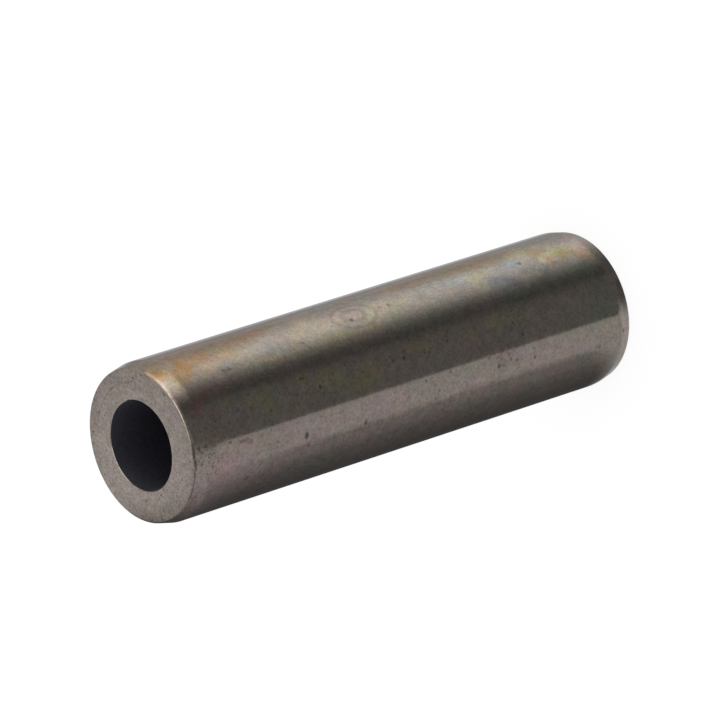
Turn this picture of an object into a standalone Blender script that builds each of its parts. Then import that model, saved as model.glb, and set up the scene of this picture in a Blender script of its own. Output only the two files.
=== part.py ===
"""Valve guide: a thick-walled iron tube, turned and ground from one piece, standing on its lower end.

Metres, +Z up. The origin is the centre of the lower end face, and the axis of the bore is Z.
"""

import math

import bmesh
import bpy
from mathutils import Vector

# Driving sizes of the tube
OUTER_DIAMETER = 0.0160
BORE_DIAMETER = 0.0090
LENGTH = 0.0576

# Lead-in at each end, a shallow cone that lets the guide start into the head
TOP_LEAD_LENGTH = 0.0017
TOP_LEAD_ANGLE = math.radians(12.8)
BOTTOM_LEAD_LENGTH = 0.00155
BOTTOM_LEAD_ANGLE = math.radians(12.0)

# Small radii that grinding and tumbling leave on the corners
TOP_BLEND_RADIUS = 0.0012
BOTTOM_BLEND_RADIUS = 0.0030
FACE_EDGE_RADIUS = 0.00022

# Broken corner at each mouth of the bore
BORE_BREAK_WIDTH = 0.00008
BORE_BREAK_ANGLE = math.radians(45.0)

# Facets of the round surfaces
TURN_STEPS = 96
ARC_STEP = math.radians(10.0)

# Finish of the ground iron
IRON_COLOUR = (0.235, 0.203, 0.182, 1.0)
IRON_ROUGHNESS = 0.38

NODE_NAME = "valve_guide"


def clear_scene():
    """Removes every object of the startup scene."""
    for thing in list(bpy.data.objects):
        bpy.data.objects.remove(thing, do_unlink=True)


def corner_arc(before, corner, after, radius):
    """Points of the fillet that rounds a corner of the section, no longer than half of either side."""
    side_in = before - corner
    side_out = after - corner
    half_angle = side_in.angle(side_out) / 2
    reach = min(radius / math.tan(half_angle), side_in.length / 2, side_out.length / 2)
    true_radius = reach * math.tan(half_angle)
    towards_centre = (side_in.normalized() + side_out.normalized()).normalized()
    centre = corner + towards_centre * true_radius / math.sin(half_angle)
    first = corner + side_in.normalized() * reach - centre
    last = corner + side_out.normalized() * reach - centre
    turn = first.angle_signed(last)
    steps = max(1, round(abs(turn) / ARC_STEP))
    arc = []
    for step in range(steps + 1):
        angle = -turn * step / steps
        arc.append(
            centre
            + Vector(
                (
                    first.x * math.cos(angle) - first.y * math.sin(angle),
                    first.x * math.sin(angle) + first.y * math.cos(angle),
                )
            )
        )
    return arc


def section_corners():
    """Corners of the half section, (radius, height) and fillet radius, going up outside and down the bore."""
    outer = OUTER_DIAMETER / 2
    bore = BORE_DIAMETER / 2
    bottom_face = outer - BOTTOM_LEAD_LENGTH * math.tan(BOTTOM_LEAD_ANGLE)
    top_face = outer - TOP_LEAD_LENGTH * math.tan(TOP_LEAD_ANGLE)
    mouth = bore + BORE_BREAK_WIDTH
    mouth_depth = BORE_BREAK_WIDTH / math.tan(BORE_BREAK_ANGLE)
    return [
        (Vector((bottom_face, 0)), FACE_EDGE_RADIUS),
        (Vector((outer, BOTTOM_LEAD_LENGTH)), BOTTOM_BLEND_RADIUS),
        (Vector((outer, LENGTH - TOP_LEAD_LENGTH)), TOP_BLEND_RADIUS),
        (Vector((top_face, LENGTH)), FACE_EDGE_RADIUS),
        (Vector((mouth, LENGTH)), 0),
        (Vector((bore, LENGTH - mouth_depth)), 0),
        (Vector((bore, mouth_depth)), 0),
        (Vector((mouth, 0)), 0),
    ]


def section_points():
    """The closed half section with its rounded corners."""
    corners = section_corners()
    points = []
    for place, (corner, radius) in enumerate(corners):
        before = corners[place - 1][0]
        after = corners[(place + 1) % len(corners)][0]
        if radius > 0:
            points.extend(corner_arc(before, corner, after, radius))
        else:
            points.append(corner)
    return points


def iron():
    """Ground cast iron with a dull grey-brown sheen."""
    material = bpy.data.materials.new("ground_iron")
    material.use_nodes = True
    surface = material.node_tree.nodes["Principled BSDF"]
    surface.inputs["Base Color"].default_value = IRON_COLOUR
    surface.inputs["Metallic"].default_value = 1.0
    surface.inputs["Roughness"].default_value = IRON_ROUGHNESS
    return material


def turned_tube():
    """The tube: its half section spun once about the axis of the bore."""
    shape = bmesh.new()
    ring = [shape.verts.new((point.x, 0, point.y)) for point in section_points()]
    edges = [shape.edges.new((ring[place - 1], ring[place])) for place in range(len(ring))]
    bmesh.ops.spin(
        shape,
        geom=ring + edges,
        cent=(0, 0, 0),
        axis=(0, 0, 1),
        angle=math.tau,
        steps=TURN_STEPS,
        use_merge=True,
    )
    bmesh.ops.recalc_face_normals(shape, faces=shape.faces)
    mesh = bpy.data.meshes.new(NODE_NAME)
    shape.to_mesh(mesh)
    shape.free()
    mesh.shade_smooth()
    mesh.set_sharp_from_angle(angle=math.radians(30))
    mesh.materials.append(iron())
    guide = bpy.data.objects.new(NODE_NAME, mesh)
    bpy.context.scene.collection.objects.link(guide)
    return guide


def main():
    clear_scene()
    turned_tube()


main()
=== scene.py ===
"""Looks of the valve guide: its fine surface, its stains, a white studio and the photograph's camera.

Metres, +Z up. The guide stands on its lower end, and the end that the photograph shows is the upper one.
Places on the guide are given as the photograph shows them: millimetres down from the upper end, and an
angle round the axis that is 0 at the barrel's upper outline, 90 facing the camera and 180 at the lower
outline. Where a name says around, it is millimetres round from the line that faces the camera.
"""

import math

import bmesh
import bpy
from mathutils import Matrix, Vector


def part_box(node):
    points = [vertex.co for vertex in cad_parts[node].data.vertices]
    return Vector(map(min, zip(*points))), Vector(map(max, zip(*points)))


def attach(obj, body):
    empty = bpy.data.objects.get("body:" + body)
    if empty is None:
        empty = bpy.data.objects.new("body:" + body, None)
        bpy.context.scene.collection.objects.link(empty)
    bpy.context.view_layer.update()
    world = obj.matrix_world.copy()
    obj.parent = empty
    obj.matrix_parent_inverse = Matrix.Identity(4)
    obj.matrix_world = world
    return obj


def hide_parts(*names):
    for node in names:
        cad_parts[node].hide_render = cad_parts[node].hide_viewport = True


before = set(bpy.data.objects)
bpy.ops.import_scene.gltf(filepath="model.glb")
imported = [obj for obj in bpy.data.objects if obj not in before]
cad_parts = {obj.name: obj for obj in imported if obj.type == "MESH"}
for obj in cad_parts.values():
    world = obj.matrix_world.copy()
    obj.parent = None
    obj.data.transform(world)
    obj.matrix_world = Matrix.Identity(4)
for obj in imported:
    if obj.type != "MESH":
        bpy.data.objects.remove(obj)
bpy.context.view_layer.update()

# Sizes of the tube, the outer ones from the frame
LOWEST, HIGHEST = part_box("valve_guide")
OUTER_RADIUS = (HIGHEST.x - LOWEST.x) / 2
LENGTH = HIGHEST.z - LOWEST.z
BORE_RADIUS = 0.0045
TOP_LEAD_LENGTH = 0.0017
TOP_LEAD_ANGLE = math.radians(12.8)
BOTTOM_LEAD_LENGTH = 0.00155
BOTTOM_LEAD_ANGLE = math.radians(12.0)
TOP_BLEND_RADIUS = 0.0012
BOTTOM_BLEND_RADIUS = 0.0030
FACE_EDGE_RADIUS = 0.00022
BORE_BREAK = 0.00008
BORE_BREAK_RADIUS = BORE_BREAK / 3

# The same in millimetres, for the materials
MM = 1000.0
ARC_MM_PER_DEGREE = OUTER_RADIUS * MM * math.pi / 180
TOP_MM = LENGTH * MM
FAR_LEAD_MM = TOP_MM - BOTTOM_LEAD_LENGTH * MM

# Fineness of the visible mesh
TURN_STEPS = 300
ARC_STEP = math.radians(4.0)
BARREL_STEP = 0.0004
FACE_STEP = 0.00028
BORE_STEP = 0.0030

# Material slots of the mesh after the barrel's own: facets of the bore lie within a radius, and those of the
# end faces have an upright normal
FACE_SLOT = 1
BORE_SLOT = 2
BORE_WITHIN = BORE_RADIUS + BORE_BREAK / 8
UPRIGHT_NORMAL = 0.9

# The photograph's camera: how far the axis leans from the line of sight, how the barrel slopes in the
# picture, its lens, and where it stands from the centre of the upper end
AXIS_TO_SIGHT = math.radians(51.004)
PICTURE_SLOPE = math.radians(17.65)
CAMERA_LENS_MM = 350.22
SENSOR_MM = 36.0
CAMERA_BACK = 0.667617
CAMERA_RIGHT = 0.0209065
CAMERA_UP = 0.0082073
CAMERA_NEAREST = 0.01
CAMERA_FURTHEST = 20.0

# Studio: the paper table's up direction, the way its strip light runs, and the third direction, across both
STUDIO_UP = Vector((0.892, -0.452, 0.0)).normalized()
STRIP_ALONG = Vector((-0.279, -0.550, 0.787)).normalized()
STUDIO_ACROSS = STUDIO_UP.cross(STRIP_ALONG)

# White of the background, and the plain light of all that is neither seen nor mirrored
WHITE = (1.0, 1.0, 1.0, 1.0)
PLAIN_LIGHT = (0.9, 0.9, 0.9, 1.0)

# Light of the room in the metal, where 1 is the white of the background, by degrees round the strip light's
# direction: table horizon at 0, dark side of the room, strip light overhead, white wall, white table
ROOM = [
    (0.0, 0.28),
    (25.0, 0.27),
    (34.0, 0.24),
    (43.0, 0.155),
    (51.5, 0.21),
    (60.0, 0.385),
    (69.5, 0.88),
    (79.5, 1.46),
    (89.5, 1.67),
    (99.0, 1.50),
    (111.0, 1.26),
    (122.0, 1.08),
    (138.0, 1.08),
    (160.0, 0.85),
    (300.0, 0.80),
    (357.1, 0.80),
    (357.6, 0.28),
]

# A ramp holds no more than 1, so light is divided by this in a ramp and multiplied by it behind
BRIGHTEST = 2.0

# The strip light runs a little askew: by degrees along its length, round a place on it that stays, and only
# above a height
STRIP_SKEW = 16.0
STRIP_MIDDLE = -0.44
STRIP_HEIGHT = (0.20, 0.45)

# It is brighter by a share towards its near end, by place along it, between these turns
STRIP_NEAR = (-0.70, -0.25)
STRIP_FROM = (48 / 360, 66 / 360)
STRIP_TO = (130 / 360, 110 / 360)
STRIP_GAIN = 0.45

# White table under the guide, as the metal mirrors it: how far it reaches, its light by millimetres from
# the line where the guide touches it, towards the camera's side, and the share that the guide's shade leaves
TABLE_REACH = 0.2
TABLE_SPAN_MM = (-140.0, 60.0)
TABLE_LIGHT = [
    (-140.0, 0.64),
    (-95.0, 0.53),
    (-54.0, 0.37),
    (-34.0, 0.39),
    (-27.0, 0.92),
    (-18.0, 0.97),
    (-6.0, 1.17),
    (3.0, 0.98),
    (9.0, 0.88),
    (14.0, 0.85),
    (60.0, 0.82),
]
TABLE_SHADE = [
    (-6.0, 1.0),
    (-1.0, 0.40),
    (1.0, 0.06),
    (3.0, 0.10),
    (4.3, 0.16),
    (5.2, 0.205),
    (6.3, 0.25),
    (7.6, 0.305),
    (9.1, 0.375),
    (11.2, 0.53),
    (13.2, 0.56),
    (14.3, 0.64),
    (16.0, 0.93),
    (17.5, 1.0),
]

# The shade begins along a slanted line by the near end and fades out along another past the far end, in
# millimetres down
SHADE_SLANT = 2.0
SHADE_BEGINS = (-30.0, 0.0)
SHADE_EDGE = (-6.0, 1.0)
SHADE_FADE_SLANT = 0.25
SHADE_FADES = (59.7, 55.0)

# From a third slanted line on, past the far end, the table is brighter
TABLE_SLANT = 1.2
TABLE_BRIGHTENS = (52.5, 58.0)
TABLE_FAR_GAIN = 1.75

# Floor under the standing guide: its size, the paper that takes the shadow, and its own light
FLOOR_SIZE = 3.0
FLOOR_PAPER = (0.16, 0.16, 0.16, 1.0)
FLOOR_GLOW = 0.87

# Soft lamp for the floor's shadow
LAMP_SIZE = 0.5
LAMP_POWER = 1.2
LAMP_PLACE = Vector((0.25, -0.55, 0.85))

# Ground iron, from olive over grey and brown to pink as a broad noise goes from low to high
IRON_COLOURS = [
    (0.32, (0.222, 0.204, 0.172, 1.0)),
    (0.46, (0.230, 0.203, 0.183, 1.0)),
    (0.54, (0.240, 0.202, 0.174, 1.0)),
    (0.68, (0.243, 0.204, 0.184, 1.0)),
]
FACE_IRON = (0.300, 0.261, 0.236, 1.0)
BORE_IRON = (0.205, 0.200, 0.248, 1.0)
BORE_DIRT = (0.175, 0.168, 0.202, 1.0)
EDGE_TINT = (0.6, 0.6, 0.6, 1.0)

# Colours that the iron is multiplied by in pores, in the drop's rings, in small dark marks, in the painted
# highlight on the near rim, and on the end face in pores and in the turning mark
PORE_TINT = (0.58, 0.55, 0.55, 1.0)
RING_TINT = (0.84, 0.82, 0.83, 1.0)
SPECK_TINT = (0.15, 0.13, 0.13, 1.0)
RIM_HIGHLIGHT_TINT = (1.42, 1.40, 1.36, 1.0)
FACE_PORE_TINT = (0.50, 0.47, 0.46, 1.0)
FACE_ARC_TINT = (0.78, 0.76, 0.76, 1.0)

# Noises of the ground iron, the end faces and the bore: scale per millimetre, detail and roughness
LUMPS = (0.35, 3.0)
GRAIN = (3.8, 2.0, 0.6)
MOTTLE = (1.1, 2.5, 0.7)
CLUSTERS = (0.28, 2.0)
PORES = (2.3, 2.5, 0.6)
FINE_PORES = (4.6, 1.0)
STAIN_GAPS = (0.9, 2.0)
FACE_GROOVES = (5.0, 1.0)
FACE_GRAIN = (4.4, 2.0, 0.6)
FACE_BLOTCHES = (1.0, 2.0)
FACE_PORES = (3.1, 1.5)
BORE_GRAIN = (3.0, 2.0)

# Colour noises: their detail, the scale of each per millimetre, and how much of each channel it moves. Two
# colour the upper side more
TINT_DETAIL = 1.0
BROAD_TINT = (0.40, 0.08)
FINE_TINT = (1.7, 0.13)
HANDLED_TINTS = [(0.30, 0.12), (0.9, 0.12)]
PATCHY_TINT = (1.0, 0.15)
FACE_TINT = (0.9, 0.16)

# Smooth steps: where one starts and ends, and the two numbers that it goes between if they aren't 0 and 1.
# These make a shade or a cover out of a noise
GRAIN_SHADE = (0.30, 0.70, 0.87, 1.12)
MOTTLE_SHADE = (0.30, 0.70, 0.91, 1.10)
STAIN_COVER = (0.35, 0.60, 0.82, 1.0)
CLUSTER_COVER = (0.38, 0.58, 0.25, 1.0)
PORE_COVER = (0.56, 0.72)
FINE_PORE_COVER = (0.56, 0.70)
FACE_GRAIN_SHADE = (0.30, 0.70, 0.80, 1.18)
FACE_BLOTCH_SHADE = (0.30, 0.70, 0.93, 1.07)
FACE_GROOVE_SHADE = (0.30, 0.70, 0.96, 1.03)
FACE_PORE_COVER = (0.64, 0.72)
FACE_PORE_DEPTH = 0.85
BORE_COVER = (0.4, 0.7)

# The upper side, where old oil colours the iron more and pores are fewer, and the patchy lower side
HANDLED_AROUND = (-3.6, -5.2)
HANDLED_PORES = (0.0, 1.0, 1.0, 0.4)
PATCHY_AROUND = (1.4, 4.6)

# Pores are many by the near end and fade towards the far end, and fine ones are on the near lower side
NEAR_PORES_DOWN = (5.0, 0.5)
PORES_FADE_DOWN = (52.0, 34.0, 0.45, 0.85)
FINE_PORES_AROUND = (1.4, 2.2)
FINE_PORES_DOWN = (5.0, 1.0)

# Roughness of the ground iron by its mottle, and what pores, the far lead-in, the near lower side and the
# rim with the painted highlight add to it
SHEEN = (0.3, 0.7, 0.09, 0.13)
PORE_ROUGHER = 0.2
FAR_LEAD_ROUGHER = (FAR_LEAD_MM - 0.3, FAR_LEAD_MM + 0.2, 0.0, 0.19)
DULL_DOWN = (5.0, 1.5)
DULL_AROUND = (-1.0, 1.0)
DULL_ROUGHER = 0.13
RIM_ROUGHER = 0.14

# Roughness of the end faces and the bore
MATTE = 0.5

# Bump: its depth, its strength on ground iron and elsewhere, and the share of the grooves in it
BUMP_DEPTH = 0.0002
GROUND_BUMP = 0.014
TURNED_BUMP = 0.1
GROOVE_SHARE = 0.5

# The rim of the near face: a painted highlight on its upper side, where the edge catches the strip light
RIM_HIGHLIGHT_DOWN = (0.44, 0.22)
RIM_HIGHLIGHT_FROM_AROUND = (-8.6, -7.2)
RIM_HIGHLIGHT_TO_AROUND = (1.6, 1.0)

# The end face is darker towards its rim, by radius in millimetres, and lightens along X and Y, per
# millimetre:
# painted shade and painted light, as the studio's light falls on the face
FACE_RIM_PAINTED_SHADE = (4.8, 7.6, 1.02, 0.92)
FACE_PAINTED_LIGHT = (0.0130, 0.0035, 0.0)

# Turning mark on the end face: its middle in degrees round from the camera's side and half of its angle, its
# radius and half of its width in millimetres
FACE_ARC = (-110.0, 46.0, 6.28, 0.16)

# Noise that pushes the outlines of stains, rings and small marks: its detail, how far it pushes in
# millimetres, and its scale
RAGGED_DETAIL = 3.0
STAIN_RAGGED = [(0.6, 0.45), (0.18, 1.8)]
RING_RAGGED = (0.2, 0.7)
SPECK_RAGGED = (0.07, 5.0)

# Faint oval rings left by a drop: angle, millimetres down, half size round and down. The rest is in shares of
# the oval: the gap from ring to ring, the rim of each, and where the rings end outside and inside
RING_STAIN = (43.5, 25.3, 1.75, 2.6)
RING_GAP = 0.25
RING_RIM = (0.15 * RING_GAP, 0.65 * RING_GAP, 1.0, 0.0)
RING_OUTSIDE = (1.4, 1.0)
RING_INSIDE = (0.1, 0.4)

# Stains by colour. Each spot is an angle, millimetres down, half size round and down, lean in degrees,
# softness of its rim and strength
STAINS = [
    # amber of old oil, most of it at the near end
    ((1.02, 0.75, 0.41, 1.0), [
        (41, 1.00, 0.80, 0.55, 0, 0.7, 0.85),
        (47, 2.2, 0.75, 0.65, 0, 0.7, 0.90),
        (45, 3.2, 0.75, 1.4, 35, 0.8, 0.95),
        (46, 3.0, 0.50, 0.80, 0, 0.8, 0.90),
        (39, 5.4, 0.65, 1.5, 20, 0.9, 0.50),
        (53, 2.3, 0.60, 0.7, 20, 0.9, 0.60),
        (53, 55.0, 0.50, 0.70, 0, 0.9, 0.28),
        (54, 52.4, 0.22, 0.35, 0, 0.8, 0.35),
    ]),
    # gold, along the upper side
    ((0.94, 0.78, 0.57, 1.0), [
        (30, 0.9, 1.0, 0.65, 0, 0.7, 0.80),
        (33, 5.0, 1.2, 3.8, 0, 0.8, 0.80),
        (29, 9.6, 1.1, 4.4, 4, 0.8, 0.95),
        (29, 13.6, 0.85, 2.9, 6, 0.8, 0.90),
        (22, 4.0, 1.8, 5.0, 0, 0.9, 0.50),
        (35, 2.1, 0.90, 0.60, 0, 0.8, 0.70),
        (55, 4.4, 0.60, 1.6, 0, 0.9, 0.30),
        (21, 32.0, 1.3, 26.0, 0, 0.9, 0.18),
        (27, 36.0, 0.75, 4.5, 0, 0.8, 0.75),
        (27, 42.0, 1.05, 4.6, 0, 0.8, 0.95),
        (62, 48.5, 0.30, 0.55, 0, 0.8, 0.50),
        (38, 50.5, 0.50, 0.85, 10, 0.9, 0.85),
        (47, 52.9, 0.28, 0.55, 30, 0.9, 0.60),
        (50, 51.0, 0.50, 0.38, 20, 0.8, 0.75),
        (41, 51.9, 0.22, 0.20, 0, 0.8, 0.60),
        (35, 11.8, 0.80, 2.4, 0, 0.9, 0.60),
    ]),
    # wine colour by the near end of the dark band
    ((1.14, 0.90, 0.93, 1.0), [
        (69, 2.8, 0.60, 1.3, 30, 0.7, 0.85),
        (78, 1.7, 0.50, 0.60, 20, 0.7, 0.80),
        (69, 5.3, 0.40, 0.90, 10, 0.8, 0.60),
        (83, 3.5, 0.50, 0.80, 0, 0.8, 0.45),
    ]),
    # cream
    ((1.18, 1.14, 0.95, 1.0), [
        (54, 0.8, 1.0, 0.75, 0, 0.8, 0.45),
        (47, 10.3, 0.80, 1.6, -12, 0.8, 0.80),
        (54, 11.6, 0.26, 1.9, -26, 0.9, 0.90),
        (49, 6.0, 0.60, 1.2, 20, 0.8, 0.70),
        (46, 19.0, 1.1, 2.4, 0, 0.9, 0.80),
        (45, 29.3, 0.90, 2.2, 0, 0.8, 0.60),
        (45, 40.9, 0.80, 0.60, 30, 0.6, 0.90),
        (50, 41.6, 0.90, 1.1, 20, 0.6, 0.90),
        (46, 50.7, 0.60, 0.80, 30, 0.8, 0.95),
        (44, 22.0, 0.9, 2.0, 0, 0.9, 0.60),
        (32, 19.8, 0.6, 1.2, 0, 0.9, 1.00),
        (31, 49.2, 0.6, 1.8, 0, 0.9, 1.00),
        (46, 28.5, 0.9, 2.0, 0, 0.9, 0.60),
        (45, 20.8, 1.0, 1.5, 0, 0.8, 0.80),
        (51, 25.5, 0.9, 5.0, 0, 0.9, 0.45),
    ]),
    # yellow-green
    ((0.97, 1.00, 0.64, 1.0), [
        (44, 52.8, 0.80, 1.0, 20, 0.8, 0.90),
        (47, 53.8, 0.40, 0.70, 30, 0.9, 0.50),
        (42, 42.0, 0.35, 1.0, 0, 0.7, 0.40),
        (61, 26.1, 0.25, 0.40, 0, 0.9, 0.25),
    ]),
    # pale blue
    ((1.05, 1.14, 1.20, 1.0), [
        (41, 12.9, 0.75, 1.5, 20, 0.8, 0.65),
        (36, 15.0, 0.60, 1.8, 20, 0.8, 0.50),
        (38, 40.0, 0.70, 1.5, 20, 0.8, 0.85),
    ]),
    # blue
    ((0.85, 0.98, 1.11, 1.0), [
        (31, 33.6, 0.45, 0.90, 0, 0.6, 0.85),
        (34, 36.4, 0.65, 2.2, 10, 0.6, 0.70),
        (41, 46.9, 0.80, 1.0, 30, 0.6, 0.95),
        (47, 45.6, 0.40, 0.60, 0, 0.6, 0.80),
        (63, 43.5, 0.50, 1.5, 0, 0.7, 0.70),
        (52, 43.6, 0.70, 1.5, 0, 0.6, 0.50),
        (43, 39.5, 0.90, 1.1, 0, 0.8, 0.40),
    ]),
    # dark grey-blue
    ((0.78, 0.85, 0.92, 1.0), [
        (54, 43.4, 0.75, 2.1, -14, 0.4, 0.85),
        (57, 42.2, 0.40, 0.60, 0, 0.6, 0.60),
        (56, 49.3, 0.50, 0.65, 30, 0.5, 0.90),
        (51, 47.9, 0.50, 1.0, 0, 0.6, 0.65),
        (45, 34.0, 0.40, 0.45, 0, 0.7, 0.60),
        (53, 9.4, 0.35, 1.3, 0, 0.6, 0.60),
        (52, 14.8, 0.50, 1.7, 0, 0.7, 0.30),
        (34, 55.6, 0.60, 1.0, 0, 0.8, 0.40),
        (42, 45.7, 0.30, 0.35, 0, 0.7, 0.30),
        (42, 38.0, 0.70, 0.80, 0, 0.8, 0.60),
        (43, 10.0, 0.50, 0.60, 0, 0.8, 0.45),
    ]),
    # peach
    ((1.20, 1.00, 0.87, 1.0), [
        (44, 8.2, 0.60, 1.3, 10, 0.9, 0.60),
        (42, 8.9, 0.45, 0.80, 30, 0.8, 0.50),
        (46, 37.8, 0.35, 0.60, 0, 0.8, 0.45),
        (49, 54.9, 1.0, 0.90, 20, 0.6, 0.75),
        (54, 55.5, 0.70, 0.60, 0, 0.6, 0.70),
    ]),
    # pink
    ((1.10, 0.96, 1.04, 1.0), [
        (71, 3.8, 0.40, 1.5, 20, 0.6, 1.00),
        (80, 1.75, 0.30, 0.45, 0, 0.7, 0.80),
        (31, 25.6, 0.30, 0.80, 0, 0.9, 0.50),
        (118, 4.5, 0.80, 2.4, 20, 0.8, 0.45),
        (20, 17.0, 1.0, 2.0, 0, 0.8, 0.45),
        (18, 4.6, 1.5, 3.2, 0, 0.8, 0.55),
        (19, 32.6, 1.7, 2.0, 0, 0.8, 0.65),
        (46, 45.6, 0.30, 0.50, 0, 0.8, 0.60),
        (109, 40.2, 0.80, 1.3, 0, 0.7, 0.60),
    ]),
    # lilac of the lower side: the colour of the mirrored shade painted on, which also lightens that shade by
    # the near end
    ((1.09, 0.99, 1.13, 1.0), [
        (138, 4.0, 2.0, 4.5, 0, 0.9, 0.80),
        (152, 8.0, 1.7, 6.0, 0, 0.9, 0.80),
        (130, 16.0, 1.0, 5.0, 0, 0.9, 0.50),
        (145, 24.0, 1.6, 6.0, 0, 0.9, 0.50),
        (112, 15.0, 0.9, 3.0, 0, 0.9, 0.45),
        (114, 25.0, 0.9, 3.0, 0, 0.9, 0.45),
        (122, 34.0, 0.9, 3.0, 0, 0.9, 0.35),
        (120, 47.0, 0.9, 3.0, 0, 0.9, 0.45),
    ]),
    # olive, most of it in the dark band
    ((1.08, 1.12, 0.84, 1.0), [
        (79, 5.4, 0.50, 0.75, 0, 0.5, 0.80),
        (83, 9.2, 0.90, 1.6, 10, 0.5, 0.80),
        (91, 10.4, 0.80, 1.2, 10, 0.5, 0.80),
        (81, 15.0, 0.75, 0.60, 0, 0.5, 0.80),
        (86, 18.4, 1.1, 1.9, -14, 0.5, 0.80),
        (92, 22.4, 1.1, 2.3, 10, 0.5, 0.80),
        (83, 30.1, 0.65, 1.4, 0, 0.6, 0.65),
        (78, 32.8, 0.40, 0.60, 0, 0.6, 0.85),
        (85, 36.8, 0.40, 1.0, 0, 0.6, 0.85),
        (83, 40.0, 0.70, 1.4, 0, 0.6, 0.65),
        (84, 43.2, 0.50, 1.2, 0, 0.6, 0.65),
        (60, 22.5, 0.60, 3.8, 0, 0.9, 0.50),
        (60, 12.8, 0.55, 3.2, 0, 0.9, 0.45),
    ]),
    # a breath of green on the upper side
    ((1.02, 1.07, 1.05, 1.0), [
        (46, 47.0, 2.4, 10.0, 0, 0.8, 0.90),
        (46, 36.0, 1.8, 5.0, 0, 0.8, 0.60),
        (34, 34.0, 0.90, 5.0, 0, 0.8, 0.90),
        (46, 21.0, 1.4, 2.6, 0, 0.8, 1.00),
        (36, 22.5, 0.90, 2.6, 0, 0.8, 0.80),
        (47, 28.8, 1.2, 2.2, 0, 0.8, 0.80),
        (53, 25.0, 0.80, 2.6, 0, 0.8, 0.80),
    ]),
    # dark green
    ((0.87, 1.04, 0.94, 1.0), [
        (69, 50.5, 0.95, 5.5, 0, 0.8, 0.70),
        (63, 53.3, 0.55, 3.2, 0, 0.7, 0.80),
        (90, 54.2, 2.0, 1.9, 0, 0.6, 0.75),
        (66, 32.0, 0.65, 3.2, 0, 0.8, 0.65),
        (58, 56.8, 1.2, 0.70, 0, 0.6, 0.45),
        (149, 12.5, 0.80, 2.6, 0, 0.8, 0.65),
        (148, 18.0, 0.90, 2.6, 0, 0.8, 0.65),
    ]),
    # soot and dirt, and painted shade on the far lead-in
    ((0.55, 0.52, 0.52, 1.0), [
        (108, 6.2, 0.22, 0.60, 0, 0.5, 0.80),
        (110, 7.0, 0.30, 0.35, 30, 0.5, 0.60),
        (57, 7.4, 0.30, 0.60, 20, 0.6, 0.50),
        (110, 40.2, 0.85, 1.2, 0, 0.6, 0.22),
        (123, 35.2, 0.40, 0.70, 0, 0.7, 0.22),
        (115, 10.4, 1.2, 2.4, 0, 0.8, 0.12),
        # These two on the far lead-in are painted shade, darkening it where it mirrors the room
        (92, 57.1, 1.6, 0.45, 0, 0.6, 0.55),
        (112, 57.1, 0.9, 0.40, 0, 0.7, 0.34),
        (103.5, 2.5, 0.30, 0.60, 0, 0.7, 0.70),
        (43, 2.45, 0.16, 0.16, 0, 0.6, 0.45),
    ]),
]

# Small dark marks: angle, millimetres down, half size round and down, lean, darkness
SPECK_SOFTNESS = 0.45
SPECKS = [
    (47.2, 24.6, 0.20, 0.26, 20, 0.55),
    (43.5, 28.7, 0.22, 0.20, 20, 0.35),
    (44.4, 29.8, 0.22, 0.20, 20, 0.42),
    (47.0, 23.8, 0.20, 0.18, 0, 0.25),
    (43.5, 47.4, 0.24, 0.22, 40, 0.50),
    (54.0, 17.5, 0.16, 0.22, 0, 0.45),
    (56.0, 7.1, 0.10, 0.22, 0, 0.40),
    (56.6, 7.9, 0.10, 0.20, 0, 0.40),
    (79.5, 14.9, 0.14, 0.30, 0, 0.50),
    (88.3, 7.9, 0.13, 0.14, 0, 0.45),
    (94.0, 10.1, 0.14, 0.18, 0, 0.40),
    (88.5, 16.7, 0.18, 0.18, 0, 0.60),
    (87.3, 26.3, 0.16, 0.14, 0, 0.35),
    (87.3, 27.7, 0.20, 0.15, 0, 0.60),
    (88.7, 30.9, 0.17, 0.15, 0, 0.36),
    (85.0, 33.5, 0.17, 0.15, 0, 0.38),
    (96.8, 43.0, 0.18, 0.18, 0, 0.48),
    (119.2, 14.1, 0.36, 0.24, 0, 0.72),
    (126.7, 14.4, 0.22, 0.20, 0, 0.42),
    (123.9, 21.8, 0.28, 0.20, 0, 0.60),
    (138.5, 6.9, 0.26, 0.26, 0, 0.35),
    (107.6, 29.75, 0.15, 0.16, 0, 0.50),
    (117.5, 31.4, 0.16, 0.15, 0, 0.45),
    (106.8, 33.0, 0.14, 0.13, 0, 0.48),
    (107.8, 39.2, 0.12, 0.16, 30, 0.30),
    (113.8, 39.4, 0.22, 0.20, 20, 0.58),
    (111.7, 41.0, 0.18, 0.14, 30, 0.40),
    (113.3, 41.8, 0.16, 0.18, 0, 0.45),
    (115.8, 44.25, 0.18, 0.16, 0, 0.52),
    (124.2, 53.2, 0.20, 0.17, 0, 0.45),
    (117.6, 56.5, 0.22, 0.18, 0, 0.58),
    (109.0, 39.8, 0.20, 0.16, 0, 0.25),
    (111.0, 40.2, 0.26, 0.16, 20, 0.25),
    (107.5, 40.8, 0.18, 0.16, 0, 0.28),
    (114.3, 40.1, 0.16, 0.14, 0, 0.22),
    (107.5, 0.20, 0.80, 0.14, 0, 0.60),
    (115.5, 0.28, 0.65, 0.13, 0, 0.65),
    (124.0, 0.22, 0.90, 0.08, 0, 0.55),
    (137.0, 0.20, 1.40, 0.07, 0, 0.50),
    (104.5, 0.80, 0.22, 0.12, 0, 0.55),
    (103.8, 1.50, 0.16, 0.14, 0, 0.50),
    (107.5, 1.0, 0.16, 0.10, 20, 0.55),
    (112.0, 1.7, 0.12, 0.10, 0, 0.50),
    (110.0, 2.4, 0.13, 0.10, 30, 0.50),
    (116.0, 0.9, 0.16, 0.09, 0, 0.50),
    (113.0, 3.4, 0.10, 0.10, 0, 0.45),
    (119.5, 2.1, 0.12, 0.14, 0, 0.40),
]


# Nodes, materials and objects


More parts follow.
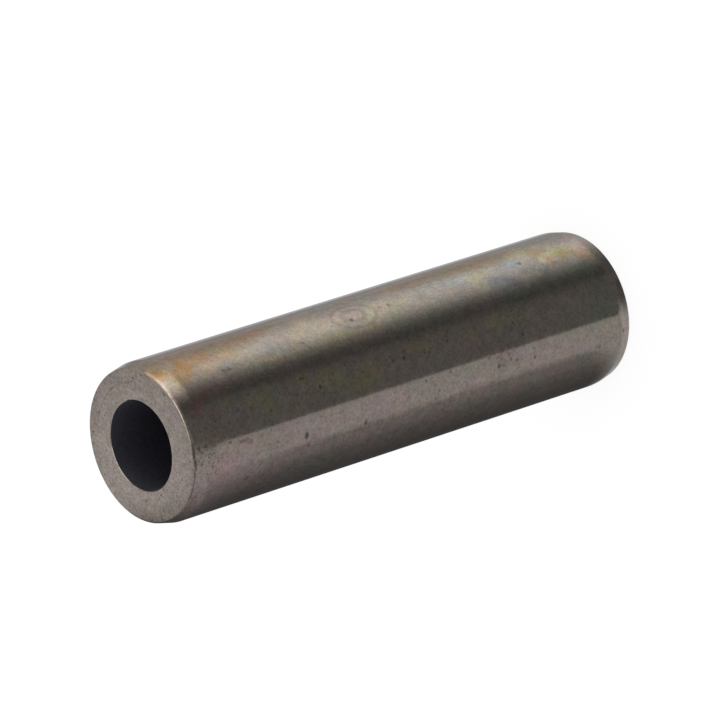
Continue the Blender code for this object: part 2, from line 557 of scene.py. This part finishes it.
class Nodes:
    """Adds nodes to one tree. A number or colour that an input takes is set on it, and a socket is linked."""

    def __init__(self, tree):
        self.tree = tree
        tree.nodes.clear()

    def put(self, kind, inputs=(), **settings):
        """One node, with its settings and inputs by name or place."""
        node = self.tree.nodes.new(kind)
        for name, setting in settings.items():
            setattr(node, name, setting)
        for name, given in dict(inputs).items():
            self.feed(node.inputs[name], given)
        return node

    def feed(self, socket, given):
        """Links a socket, or sets its own value."""
        if isinstance(given, bpy.types.NodeSocket):
            self.tree.links.new(given, socket)
        else:
            socket.default_value = given

    def math(self, operation, *terms, clamp=False):
        """A number worked out from others."""
        return self.put("ShaderNodeMath", enumerate(terms), operation=operation, use_clamp=clamp).outputs[0]

    def vector(self, operation, *terms):
        """A vector, or a number for a dot product or a length."""
        node = self.put("ShaderNodeVectorMath", enumerate(terms), operation=operation)
        return node.outputs["Value" if operation in ("DOT_PRODUCT", "LENGTH") else "Vector"]

    def smooth(self, given, start, end, low=0.0, high=1.0):
        """A smooth step from low to high as a number goes from start to end."""
        inputs = {"Value": given, "From Min": start, "From Max": end, "To Min": low, "To Max": high}
        return self.put("ShaderNodeMapRange", inputs, interpolation_type="SMOOTHSTEP").outputs["Result"]

    def noise(self, place, scale, detail=2.0, roughness=0.5):
        """Smooth noise between 0 and 1."""
        inputs = {"Vector": place, "Scale": scale, "Detail": detail, "Roughness": roughness}
        return self.put("ShaderNodeTexNoise", inputs).outputs["Fac"]

    def colour(self, below, above, factor, blend="MIX"):
        """One colour laid over another."""
        node = self.put("ShaderNodeMix", data_type="RGBA", blend_type=blend)
        self.feed(node.inputs["Factor"], factor)
        self.feed(node.inputs[6], below)
        self.feed(node.inputs[7], above)
        return node.outputs[2]

    def ramp(self, given, stops):
        """A number or colour looked up between stops of place and value."""
        node = self.put("ShaderNodeValToRGB", {"Fac": given})
        stretch = node.color_ramp.elements
        while len(stretch) < len(stops):
            stretch.new(0.5)
        for element, (place, shade) in zip(stretch, stops):
            element.position = place
            element.color = shade if isinstance(shade, tuple) else (shade, shade, shade, 1.0)
        return node.outputs["Color"]

    def millimetres(self):
        """Place on the object in millimetres."""
        place = self.vector("SCALE", self.put("ShaderNodeTexCoord").outputs["Object"])
        place.node.inputs["Scale"].default_value = MM
        return place

    def bump(self, strength, height):
        """A normal bent by a height."""
        inputs = {"Strength": strength, "Distance": BUMP_DEPTH, "Height": height}
        return self.put("ShaderNodeBump", inputs).outputs[0]

    def shown(self, ray):
        """1 for rays that show the background: the camera's, and those mirrored or let through."""
        seen = self.math("ADD", ray["Is Camera Ray"], ray["Is Glossy Ray"])
        return self.math("ADD", seen, ray["Is Transmission Ray"], clamp=True)


def new_material(name):
    """A material with an empty tree, and what adds its nodes."""
    material = bpy.data.materials.new(name)
    material.use_nodes = True
    return material, Nodes(material.node_tree)


def placed(name, data):
    """An object in the scene."""
    thing = bpy.data.objects.new(name, data)
    bpy.context.scene.collection.objects.link(thing)
    return thing


def square(name, half, material):
    """A flat square about the origin."""
    mesh = bpy.data.meshes.new(name)
    corners = [(-half, -half, 0), (half, -half, 0), (half, half, 0), (-half, half, 0)]
    mesh.from_pydata(corners, [], [(0, 1, 2, 3)])
    mesh.materials.append(material)
    return placed(name, mesh)


# Form of the tube


def corner_arc(before, corner, after, radius):
    """Points of the fillet that rounds a corner of the section, no longer than half of either side."""
    side_in = before - corner
    side_out = after - corner
    half_angle = side_in.angle(side_out) / 2
    reach = min(radius / math.tan(half_angle), side_in.length / 2, side_out.length / 2)
    true_radius = reach * math.tan(half_angle)
    towards_centre = (side_in.normalized() + side_out.normalized()).normalized()
    centre = corner + towards_centre * true_radius / math.sin(half_angle)
    first = corner + side_in.normalized() * reach - centre
    last = corner + side_out.normalized() * reach - centre
    turn = first.angle_signed(last)
    steps = max(2, round(abs(turn) / ARC_STEP))
    return [centre + Matrix.Rotation(-turn * step / steps, 2) @ first for step in range(steps + 1)]


def section_corners():
    """Corners of the half section, (radius, height), fillet radius and step of the stretch that follows."""
    bottom_face = OUTER_RADIUS - BOTTOM_LEAD_LENGTH * math.tan(BOTTOM_LEAD_ANGLE)
    top_face = OUTER_RADIUS - TOP_LEAD_LENGTH * math.tan(TOP_LEAD_ANGLE)
    mouth = BORE_RADIUS + BORE_BREAK
    return [
        (Vector((bottom_face, 0)), FACE_EDGE_RADIUS, BARREL_STEP),
        (Vector((OUTER_RADIUS, BOTTOM_LEAD_LENGTH)), BOTTOM_BLEND_RADIUS, BARREL_STEP),
        (Vector((OUTER_RADIUS, LENGTH - TOP_LEAD_LENGTH)), TOP_BLEND_RADIUS, BARREL_STEP),
        (Vector((top_face, LENGTH)), FACE_EDGE_RADIUS, FACE_STEP),
        (Vector((mouth, LENGTH)), BORE_BREAK_RADIUS, BORE_STEP),
        (Vector((BORE_RADIUS, LENGTH - BORE_BREAK)), BORE_BREAK_RADIUS, BORE_STEP),
        (Vector((BORE_RADIUS, BORE_BREAK)), BORE_BREAK_RADIUS, BORE_STEP),
        (Vector((mouth, 0)), BORE_BREAK_RADIUS, FACE_STEP),
    ]


def section_points():
    """The closed half section: rounded corners, with the stretches between them cut into steps."""
    corners = section_corners()
    arcs = []
    for place, (corner, radius, _) in enumerate(corners):
        arcs.append(corner_arc(corners[place - 1][0], corner, corners[(place + 1) % len(corners)][0], radius))
    points = []
    for place, arc in enumerate(arcs):
        points.extend(arc)
        following = arcs[(place + 1) % len(arcs)][0]
        steps = max(1, round((following - arc[-1]).length / corners[place][2]))
        points.extend(arc[-1].lerp(following, step / steps) for step in range(1, steps))
    return points


def guide_tube(materials):
    """The tube: its section spun once about the bore, with slots for the barrel, end faces and bore."""
    shape = bmesh.new()
    ring = [shape.verts.new((point.x, 0, point.y)) for point in section_points()]
    edges = [shape.edges.new((ring[place - 1], ring[place])) for place in range(len(ring))]
    bmesh.ops.spin(
        shape,
        geom=ring + edges,
        cent=(0, 0, 0),
        axis=(0, 0, 1),
        angle=math.tau,
        steps=TURN_STEPS,
        use_merge=True,
    )
    bmesh.ops.recalc_face_normals(shape, faces=shape.faces)
    for facet in shape.faces:
        middle = facet.calc_center_median()
        if math.hypot(middle.x, middle.y) < BORE_WITHIN:
            facet.material_index = BORE_SLOT
        elif abs(facet.normal.z) > UPRIGHT_NORMAL:
            facet.material_index = FACE_SLOT
    mesh = bpy.data.meshes.new("guide_tube")
    shape.to_mesh(mesh)
    shape.free()
    mesh.shade_smooth()
    for material in materials:
        mesh.materials.append(material)
    return placed("guide_tube", mesh)


# Iron


def surface_places(build):
    """Place in millimetres, and the unrolled sheet: millimetres round from the camera's side, and down."""
    place = build.millimetres()
    parts = build.put("ShaderNodeSeparateXYZ", {0: place}).outputs
    towards = build.math("MULTIPLY", parts["Y"], -1.0)
    turned = build.math("ARCTAN2", parts["X"], towards)
    around = build.math("MULTIPLY", turned, -OUTER_RADIUS * MM)
    down = build.math("SUBTRACT", TOP_MM, parts["Z"])
    sheet = build.put("ShaderNodeCombineXYZ", {0: around, 1: down}).outputs[0]
    return place, sheet, down


def ragged(build, sheet, place, reach, scale):
    """The sheet with its places pushed about by noise, so that a mark laid on it has an uneven outline."""
    inputs = {"Vector": place, "Scale": scale, "Detail": RAGGED_DETAIL}
    push = build.put("ShaderNodeTexNoise", inputs).outputs["Color"]
    push = build.vector("MULTIPLY_ADD", push, (2 * reach, 2 * reach, 0.0), (-reach, -reach, 0.0))
    return build.vector("ADD", sheet, push)


def oval_square(build, sheet, angle, down, around_half, down_half, lean=0.0):
    """Square of how far a place on the sheet is from the middle of an oval, where 1 is its outline."""
    turn = math.radians(lean)
    across = Vector((math.cos(turn), math.sin(turn), 0.0)) / around_half
    along = Vector((-math.sin(turn), math.cos(turn), 0.0)) / down_half
    middle = ((angle - 90) * ARC_MM_PER_DEGREE, down, 0.0)
    offset = build.vector("SUBTRACT", sheet, middle)
    aside = build.vector("DOT_PRODUCT", offset, across)
    onward = build.vector("DOT_PRODUCT", offset, along)
    return build.math("MULTIPLY_ADD", aside, aside, build.math("MULTIPLY", onward, onward))


def mark_mask(build, sheet, spot, soft, strength):
    """The strength inside an oval on the sheet and 0 outside, with a soft rim."""
    return build.smooth(oval_square(build, sheet, *spot), (1 + soft) ** 2, (1 - soft) ** 2, 0.0, strength)


def tinted(build, colour, place, scale, share):
    """The colour with each of its channels moved a little by noise of its own."""
    inputs = {"Vector": place, "Scale": scale, "Detail": TINT_DETAIL}
    noise = build.put("ShaderNodeTexNoise", inputs).outputs["Color"]
    push = build.vector("MULTIPLY_ADD", noise, (share, share, share), (1 - share / 2,) * 3)
    return build.colour(colour, push, 1.0, "MULTIPLY")


def greyed(build, colour, shade):
    """The colour times a number."""
    grey = build.put("ShaderNodeCombineColor", {0: shade, 1: shade, 2: shade}).outputs[0]
    return build.colour(colour, grey, 1.0, "MULTIPLY")


def drop_rings(build, place, sheet):
    """How dark the faint rings that a drop left are."""
    from_drop = build.math("SQRT", oval_square(build, ragged(build, sheet, place, *RING_RAGGED), *RING_STAIN))
    rings = build.smooth(build.math("PINGPONG", from_drop, RING_GAP), *RING_RIM)
    rings = build.math("MULTIPLY", rings, build.smooth(from_drop, *RING_OUTSIDE))
    return build.math("MULTIPLY", rings, build.smooth(from_drop, *RING_INSIDE))


def stained(build, colour, place, sheet):
    """The colour with the broad stains, the drop's rings and the small dark marks laid on it."""
    uneven = sheet
    for reach, scale in STAIN_RAGGED:
        uneven = ragged(build, uneven, place, reach, scale)
    broken_up = build.smooth(build.noise(place, *STAIN_GAPS), *STAIN_COVER)
    for tint, spots in STAINS:
        cover = 0.0
        for *spot, soft, strength in spots:
            cover = build.math("MAXIMUM", mark_mask(build, uneven, spot, soft, strength), cover)
        cover = build.math("MULTIPLY", cover, broken_up)
        colour = build.colour(colour, tint, cover, "MULTIPLY")
    colour = build.colour(colour, RING_TINT, drop_rings(build, place, sheet), "MULTIPLY")
    broken = ragged(build, sheet, place, *SPECK_RAGGED)
    dark = 0.0
    for *spot, darkness in SPECKS:
        dark = build.math("MAXIMUM", mark_mask(build, broken, spot, SPECK_SOFTNESS, darkness), dark)
    return build.colour(colour, SPECK_TINT, dark, "MULTIPLY")


def iron_pores(build, place, around, down, handled):
    """How deep in a pore a place is: pores in clusters, and fine ones on the near lower side."""
    clusters = build.smooth(build.noise(place, *CLUSTERS), *CLUSTER_COVER)
    clusters = build.math("MAXIMUM", clusters, build.smooth(down, *NEAR_PORES_DOWN))
    pores = build.math("MULTIPLY", build.smooth(build.noise(place, *PORES), *PORE_COVER), clusters)
    lower = build.smooth(around, *FINE_PORES_AROUND)
    fine_pores = build.smooth(build.noise(place, *FINE_PORES), *FINE_PORE_COVER)
    fine_pores = build.math("MULTIPLY", fine_pores, build.smooth(down, *FINE_PORES_DOWN))
    fine_pores = build.math("MULTIPLY", fine_pores, lower)
    pores = build.math("MULTIPLY", pores, build.smooth(down, *PORES_FADE_DOWN))
    pores = build.math("MAXIMUM", pores, fine_pores)
    return build.math("MULTIPLY", pores, build.smooth(handled, *HANDLED_PORES))


def iron_roughness(build, mottle, pores, around, down):
    """Roughness of the ground iron: rougher in pores, on the far lead-in and on the near lower side."""
    roughness = build.smooth(mottle, *SHEEN)
    roughness = build.math("MULTIPLY_ADD", pores, PORE_ROUGHER, roughness)
    roughness = build.math("ADD", roughness, build.smooth(down, *FAR_LEAD_ROUGHER))
    dull = build.math("MULTIPLY", build.smooth(down, *DULL_DOWN), build.smooth(around, *DULL_AROUND))
    return build.math("MULTIPLY_ADD", dull, DULL_ROUGHER, roughness)


def finish_iron(build, material, colour, roughness, bump):
    """The metal shader that all three finishes share."""
    surface = build.put("ShaderNodeBsdfPrincipled", {"Metallic": 1.0, "Specular Tint": EDGE_TINT})
    build.feed(surface.inputs["Base Color"], colour)
    build.feed(surface.inputs["Roughness"], roughness)
    build.feed(surface.inputs["Normal"], bump)
    build.put("ShaderNodeOutputMaterial", {"Surface": surface.outputs[0]})
    return material


def ground_iron():
    """Barrel and lead-ins: smooth ground iron, mottled and stained, with pores in clusters."""
    material, build = new_material("ground_iron")
    place, sheet, down = surface_places(build)
    colour = build.ramp(build.noise(place, *LUMPS), IRON_COLOURS)
    colour = tinted(build, colour, place, *BROAD_TINT)
    colour = tinted(build, colour, place, *FINE_TINT)
    around = build.put("ShaderNodeSeparateXYZ", {0: sheet}).outputs[0]
    handled = build.smooth(around, *HANDLED_AROUND)
    motley = colour
    for scale, share in HANDLED_TINTS:
        motley = tinted(build, motley, place, scale, share)
    colour = build.colour(colour, motley, handled)
    patchy = tinted(build, colour, place, *PATCHY_TINT)
    colour = build.colour(colour, patchy, build.smooth(around, *PATCHY_AROUND))
    colour = stained(build, colour, place, sheet)
    grain = build.noise(place, *GRAIN)
    mottle = build.noise(place, *MOTTLE)
    colour = greyed(build, colour, build.smooth(grain, *GRAIN_SHADE))
    colour = greyed(build, colour, build.smooth(mottle, *MOTTLE_SHADE))
    pores = iron_pores(build, place, around, down, handled)
    colour = build.colour(colour, PORE_TINT, pores, "MULTIPLY")
    roughness = iron_roughness(build, mottle, pores, around, down)
    # Painted highlight: the near rim is lighter on its upper side, and rougher there
    rim_highlight = build.math("MULTIPLY", build.smooth(down, *RIM_HIGHLIGHT_DOWN), build.smooth(around, *RIM_HIGHLIGHT_TO_AROUND))
    rim_highlight = build.math("MULTIPLY", rim_highlight, build.smooth(around, *RIM_HIGHLIGHT_FROM_AROUND))
    colour = build.colour(colour, RIM_HIGHLIGHT_TINT, rim_highlight, "MULTIPLY")
    roughness = build.math("MULTIPLY_ADD", rim_highlight, RIM_ROUGHER, roughness)
    return finish_iron(build, material, colour, roughness, build.bump(GROUND_BUMP, grain))


def turning_mark(build, radius, sheet):
    """How dark the deeper turning mark is, an arc on the upper side of the end face."""
    angle, half_angle, at_radius, half_width = FACE_ARC
    off = build.math("ABSOLUTE", build.math("SUBTRACT", radius, at_radius))
    around = build.put("ShaderNodeSeparateXYZ", {0: sheet}).outputs[0]
    turn = build.math("DIVIDE", around, ARC_MM_PER_DEGREE)
    turn = build.math("ABSOLUTE", build.math("SUBTRACT", turn, angle))
    line = build.smooth(off, half_width, 0.0)
    return build.math("MULTIPLY", line, build.smooth(turn, half_angle, half_angle / 2))


def faced_iron():
    """End faces: turned flat and matte, with fine grooves, dark pores and one deeper turning mark."""
    material, build = new_material("faced_iron")
    place, sheet, _ = surface_places(build)
    radius = build.vector("LENGTH", build.vector("MULTIPLY", place, (1.0, 1.0, 0.0)))
    grooves = build.noise(build.put("ShaderNodeCombineXYZ", {0: radius}).outputs[0], *FACE_GROOVES)
    grain = build.noise(place, *FACE_GRAIN)
    blotches = build.noise(place, *FACE_BLOTCHES)
    colour = tinted(build, FACE_IRON, place, *FACE_TINT)
    colour = greyed(build, colour, build.smooth(grain, *FACE_GRAIN_SHADE))
    colour = greyed(build, colour, build.smooth(blotches, *FACE_BLOTCH_SHADE))
    colour = greyed(build, colour, build.smooth(grooves, *FACE_GROOVE_SHADE))
    # Painted shade towards the rim and painted light along X and Y
    colour = greyed(build, colour, build.smooth(radius, *FACE_RIM_PAINTED_SHADE))
    painted_light = build.vector("DOT_PRODUCT", place, FACE_PAINTED_LIGHT)
    colour = greyed(build, colour, build.math("ADD", painted_light, 1.0))
    pores = build.smooth(build.noise(place, *FACE_PORES), *FACE_PORE_COVER)
    pores = build.math("MULTIPLY", pores, FACE_PORE_DEPTH)
    colour = build.colour(colour, FACE_PORE_TINT, pores, "MULTIPLY")
    colour = build.colour(colour, FACE_ARC_TINT, turning_mark(build, radius, sheet), "MULTIPLY")
    relief = build.math("MULTIPLY_ADD", grooves, GROOVE_SHARE, grain)
    return finish_iron(build, material, colour, MATTE, build.bump(TURNED_BUMP, relief))


def bored_iron():
    """Bore: dark with oil and oxide."""
    material, build = new_material("bored_iron")
    grain = build.noise(build.millimetres(), *BORE_GRAIN)
    colour = build.colour(BORE_IRON, BORE_DIRT, build.smooth(grain, *BORE_COVER))
    return finish_iron(build, material, colour, MATTE, build.bump(TURNED_BUMP, grain))


# Studio


def studio_world():
    """White studio. The background is white to the camera, and metal mirrors it with the room round it."""
    world = bpy.data.worlds.new("studio")
    bpy.context.scene.world = world
    world.use_nodes = True
    build = Nodes(world.node_tree)
    direction = build.put("ShaderNodeTexCoord").outputs["Generated"]
    up = build.vector("DOT_PRODUCT", direction, STUDIO_UP)
    across = build.vector("DOT_PRODUCT", direction, STUDIO_ACROSS)
    along = build.vector("DOT_PRODUCT", direction, STRIP_ALONG)
    turn = build.math("FRACT", build.math("DIVIDE", build.math("ARCTAN2", up, across), math.tau))
    skew = build.math("MULTIPLY", build.math("SUBTRACT", STRIP_MIDDLE, along), STRIP_SKEW / 360)
    turn = build.math("MULTIPLY_ADD", skew, build.smooth(up, *STRIP_HEIGHT), turn)
    room = build.ramp(turn, [(angle / 360, level / BRIGHTEST) for angle, level in ROOM])
    near = build.math("MULTIPLY", build.smooth(along, *STRIP_NEAR), build.smooth(turn, *STRIP_FROM))
    near = build.math("MULTIPLY", near, build.smooth(turn, *STRIP_TO))
    gain = build.math("MULTIPLY_ADD", near, STRIP_GAIN * BRIGHTEST, BRIGHTEST)
    brighter = build.put("ShaderNodeVectorMath", {0: room, "Scale": gain}, operation="SCALE").outputs[0]
    ray = build.put("ShaderNodeLightPath").outputs
    background = build.colour(WHITE, brighter, ray["Is Glossy Ray"])
    light = build.colour(PLAIN_LIGHT, background, build.shown(ray))
    backdrop = build.put("ShaderNodeBackground", {"Color": light, "Strength": 1.0}).outputs[0]
    build.put("ShaderNodeOutputWorld", {"Surface": backdrop})


def floor():
    """White paper that keeps a faint shadow.

    The photographed guide lies down and mirrors the room, not the ground under its end, so the floor is left
    out of the reflections.
    """
    material, build = new_material("floor_paper")
    paper = build.put("ShaderNodeBsdfDiffuse", {"Color": FLOOR_PAPER}).outputs[0]
    seen = build.shown(build.put("ShaderNodeLightPath").outputs)
    glow = build.put("ShaderNodeEmission", {"Strength": build.math("MULTIPLY", seen, FLOOR_GLOW)}).outputs[0]
    both = build.put("ShaderNodeAddShader", {0: paper, 1: glow}).outputs[0]
    build.put("ShaderNodeOutputMaterial", {"Surface": both})
    sheet = square("floor", FLOOR_SIZE / 2, material)
    sheet.visible_glossy = False


def shaded_table_light(build):
    """Light of the mirrored table with the guide's shade on it, and its strength."""
    parts = build.put("ShaderNodeSeparateXYZ", {0: build.millimetres()}).outputs
    aside, down = parts["X"], parts["Y"]
    first, last = TABLE_SPAN_MM
    span = last - first
    inputs = {"Value": aside, "From Min": first, "From Max": last}
    along = build.put("ShaderNodeMapRange", inputs).outputs["Result"]
    light = build.ramp(along, [((at - first) / span, level / BRIGHTEST) for at, level in TABLE_LIGHT])
    shade = build.ramp(along, [((at - first) / span, kept) for at, kept in TABLE_SHADE])
    behind = build.math("SUBTRACT", down, build.math("MULTIPLY", aside, SHADE_SLANT))
    beyond = build.math("SUBTRACT", down, build.math("MULTIPLY", aside, SHADE_FADE_SLANT))
    reach = build.math("MULTIPLY", build.smooth(behind, *SHADE_BEGINS), build.smooth(beyond, *SHADE_FADES))
    reach = build.math("MULTIPLY", reach, build.smooth(down, *SHADE_EDGE))
    light = build.colour(light, build.colour(WHITE, shade, reach), 1.0, "MULTIPLY")
    past = build.math("SUBTRACT", down, build.math("MULTIPLY", aside, TABLE_SLANT))
    return light, build.smooth(past, *TABLE_BRIGHTENS, BRIGHTEST, BRIGHTEST * TABLE_FAR_GAIN)


def mirrored_table():
    """The white table that the photographed guide lies on, with the guide's shade, for reflections alone."""
    material, build = new_material("mirrored_table")
    light, strength = shaded_table_light(build)
    glow = build.put("ShaderNodeEmission", {"Color": light, "Strength": strength}).outputs[0]
    build.put("ShaderNodeOutputMaterial", {"Surface": glow})
    table = square("mirrored_table", TABLE_REACH, material)
    down_axis = Vector((0, 0, -1))
    aside_axis = down_axis.cross(STUDIO_UP)
    turn = Matrix((aside_axis, down_axis, STUDIO_UP)).transposed().to_4x4()
    table.matrix_world = Matrix.Translation(Vector((0, 0, LENGTH)) - STUDIO_UP * OUTER_RADIUS) @ turn
    table.visible_camera = False
    table.visible_diffuse = False
    table.visible_transmission = False
    table.visible_volume_scatter = False
    table.visible_shadow = False


def lamp():
    """Soft lamp for the floor's shadow, on the camera's side, left out of the reflections."""
    light = bpy.data.lights.new("soft_lamp", "AREA")
    light.size = LAMP_SIZE
    light.energy = LAMP_POWER
    thing = placed("soft_lamp", light)
    thing.location = LAMP_PLACE
    thing.rotation_euler = (-LAMP_PLACE).to_track_quat("-Z", "Y").to_euler()
    thing.visible_glossy = False


def camera():
    """The photograph's camera."""
    away = Vector((0, -math.cos(AXIS_TO_SIGHT), -math.sin(AXIS_TO_SIGHT)))
    side = Vector((1, 0, 0))
    right = away * math.cos(PICTURE_SLOPE) - side * math.sin(PICTURE_SLOPE)
    up = away * math.sin(PICTURE_SLOPE) + side * math.cos(PICTURE_SLOPE)
    back = right.cross(up)
    place = Vector((0, 0, LENGTH)) + right * CAMERA_RIGHT + up * CAMERA_UP + back * CAMERA_BACK
    lens = bpy.data.cameras.new("photo_camera")
    lens.lens = CAMERA_LENS_MM
    lens.sensor_width = SENSOR_MM
    lens.clip_start = CAMERA_NEAREST
    lens.clip_end = CAMERA_FURTHEST
    thing = placed("photo_camera", lens)
    thing.matrix_world = Matrix.Translation(place) @ Matrix((right, up, back)).transposed().to_4x4()
    bpy.context.scene.camera = thing


def main():
    tube = guide_tube([ground_iron(), faced_iron(), bored_iron()])
    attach(tube, "root")
    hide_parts("valve_guide")
    studio_world()
    floor()
    mirrored_table()
    lamp()
    camera()
    bpy.context.scene.view_settings.view_transform = "Standard"


main()
